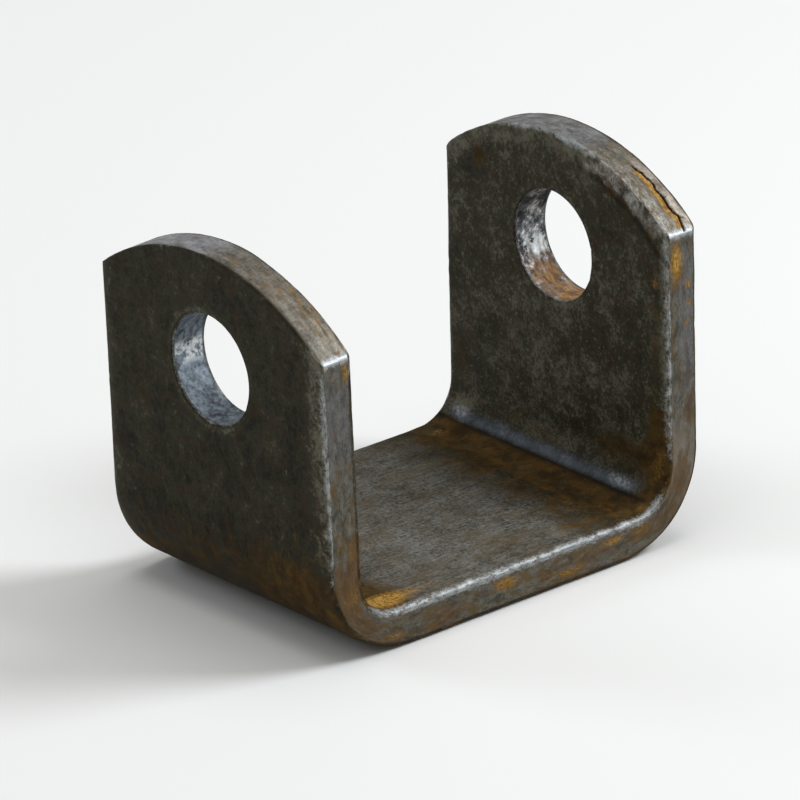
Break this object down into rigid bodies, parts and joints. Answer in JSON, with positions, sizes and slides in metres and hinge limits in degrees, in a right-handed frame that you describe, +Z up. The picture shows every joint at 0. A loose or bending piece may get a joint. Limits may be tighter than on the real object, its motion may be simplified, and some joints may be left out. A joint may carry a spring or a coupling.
{
  "type": "u bracket",
  "caption": "U-shaped bracket folded from flat steel strap, its arc-topped ears punched in line to hold a pin or bolt across the open side; the flat base is welded or rests.",
  "frame": {"origin": "bottom centre of the bounding box, on the base's underside", "axes": "+X from the left ear to the right ear, along the pin axis; +Y across the strap, front edge to back edge; +Z up out of the U"},
  "size_m": [0.0748, 0.0508, 0.0599],
  "materials": {
    "raw_steel": "raw hot-rolled steel: dark mill scale with rust bloom, bare worn edges, sheared ear tops and punched bore walls"
  },
  "bodies": {
    "root": {"u_bracket": "raw_steel"}
  },
  "joints": []
}
